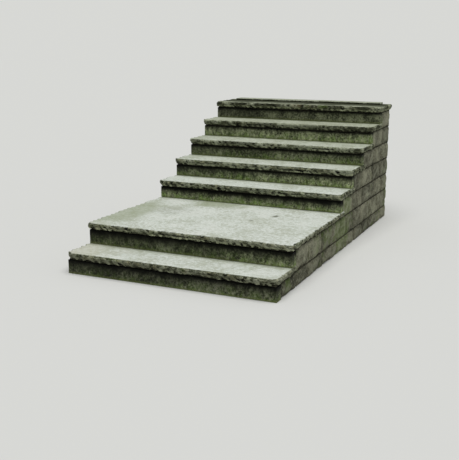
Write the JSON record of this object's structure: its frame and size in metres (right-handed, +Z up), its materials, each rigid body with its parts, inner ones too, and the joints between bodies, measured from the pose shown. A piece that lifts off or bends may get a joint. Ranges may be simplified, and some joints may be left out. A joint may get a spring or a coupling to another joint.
{
  "type": "outdoor stone steps with a landing",
  "caption": "Straight flight of outdoor stone steps: a low first step, a deep landing and an upper flight to a door sill, with overhanging rock-edged slabs on dark riser stones.",
  "frame": {"origin": "middle of the footprint of the masonry, at the level of the paving", "axes": "+X across the steps, to the right of someone going up; +Y up the flight, towards the house; +Z up"},
  "size_m": [1.6754, 3.0153, 1.112],
  "materials": {
    "slab_stone": "matt, sawn top with broken edges",
    "riser_stone": "matt, stained by algae",
    "walling_stone": "matt, squared walling stained by algae",
    "rubble_core": "rough",
    "mortar": "rough, raked back"
  },
  "bodies": {
    "root": {"riser_1": "riser_stone", "riser_2": "riser_stone", "riser_3": "riser_stone", "riser_4": "riser_stone", "riser_5": "riser_stone", "riser_6": "riser_stone", "riser_7": "riser_stone", "mortar_bed_1": "mortar", "mortar_bed_2": "mortar", "mortar_bed_3": "mortar", "mortar_bed_4": "mortar", "mortar_bed_5": "mortar", "mortar_bed_6": "mortar", "mortar_bed_7": "mortar", "left_wall_1": "walling_stone", "left_wall_2": "walling_stone", "left_wall_3": "walling_stone", "left_wall_4": "walling_stone", "left_wall_5": "walling_stone", "left_wall_6": "walling_stone", "left_wall_7": "walling_stone", "right_wall_1": "walling_stone", "right_wall_2": "walling_stone", "right_wall_3": "walling_stone", "right_wall_4": "walling_stone", "right_wall_5": "walling_stone", "right_wall_6": "walling_stone", "right_wall_7": "walling_stone", "core_1": "rubble_core", "core_2": "rubble_core", "core_3": "rubble_core", "core_4": "rubble_core", "core_5": "rubble_core", "core_6": "rubble_core", "core_7": "rubble_core", "tread_1": "slab_stone", "landing_slab": "slab_stone", "tread_3": "slab_stone", "tread_4": "slab_stone", "tread_5": "slab_stone", "tread_6": "slab_stone", "top_slab_left": "slab_stone", "top_slab_right": "slab_stone", "door_sill": "slab_stone"}
  },
  "joints": []
}
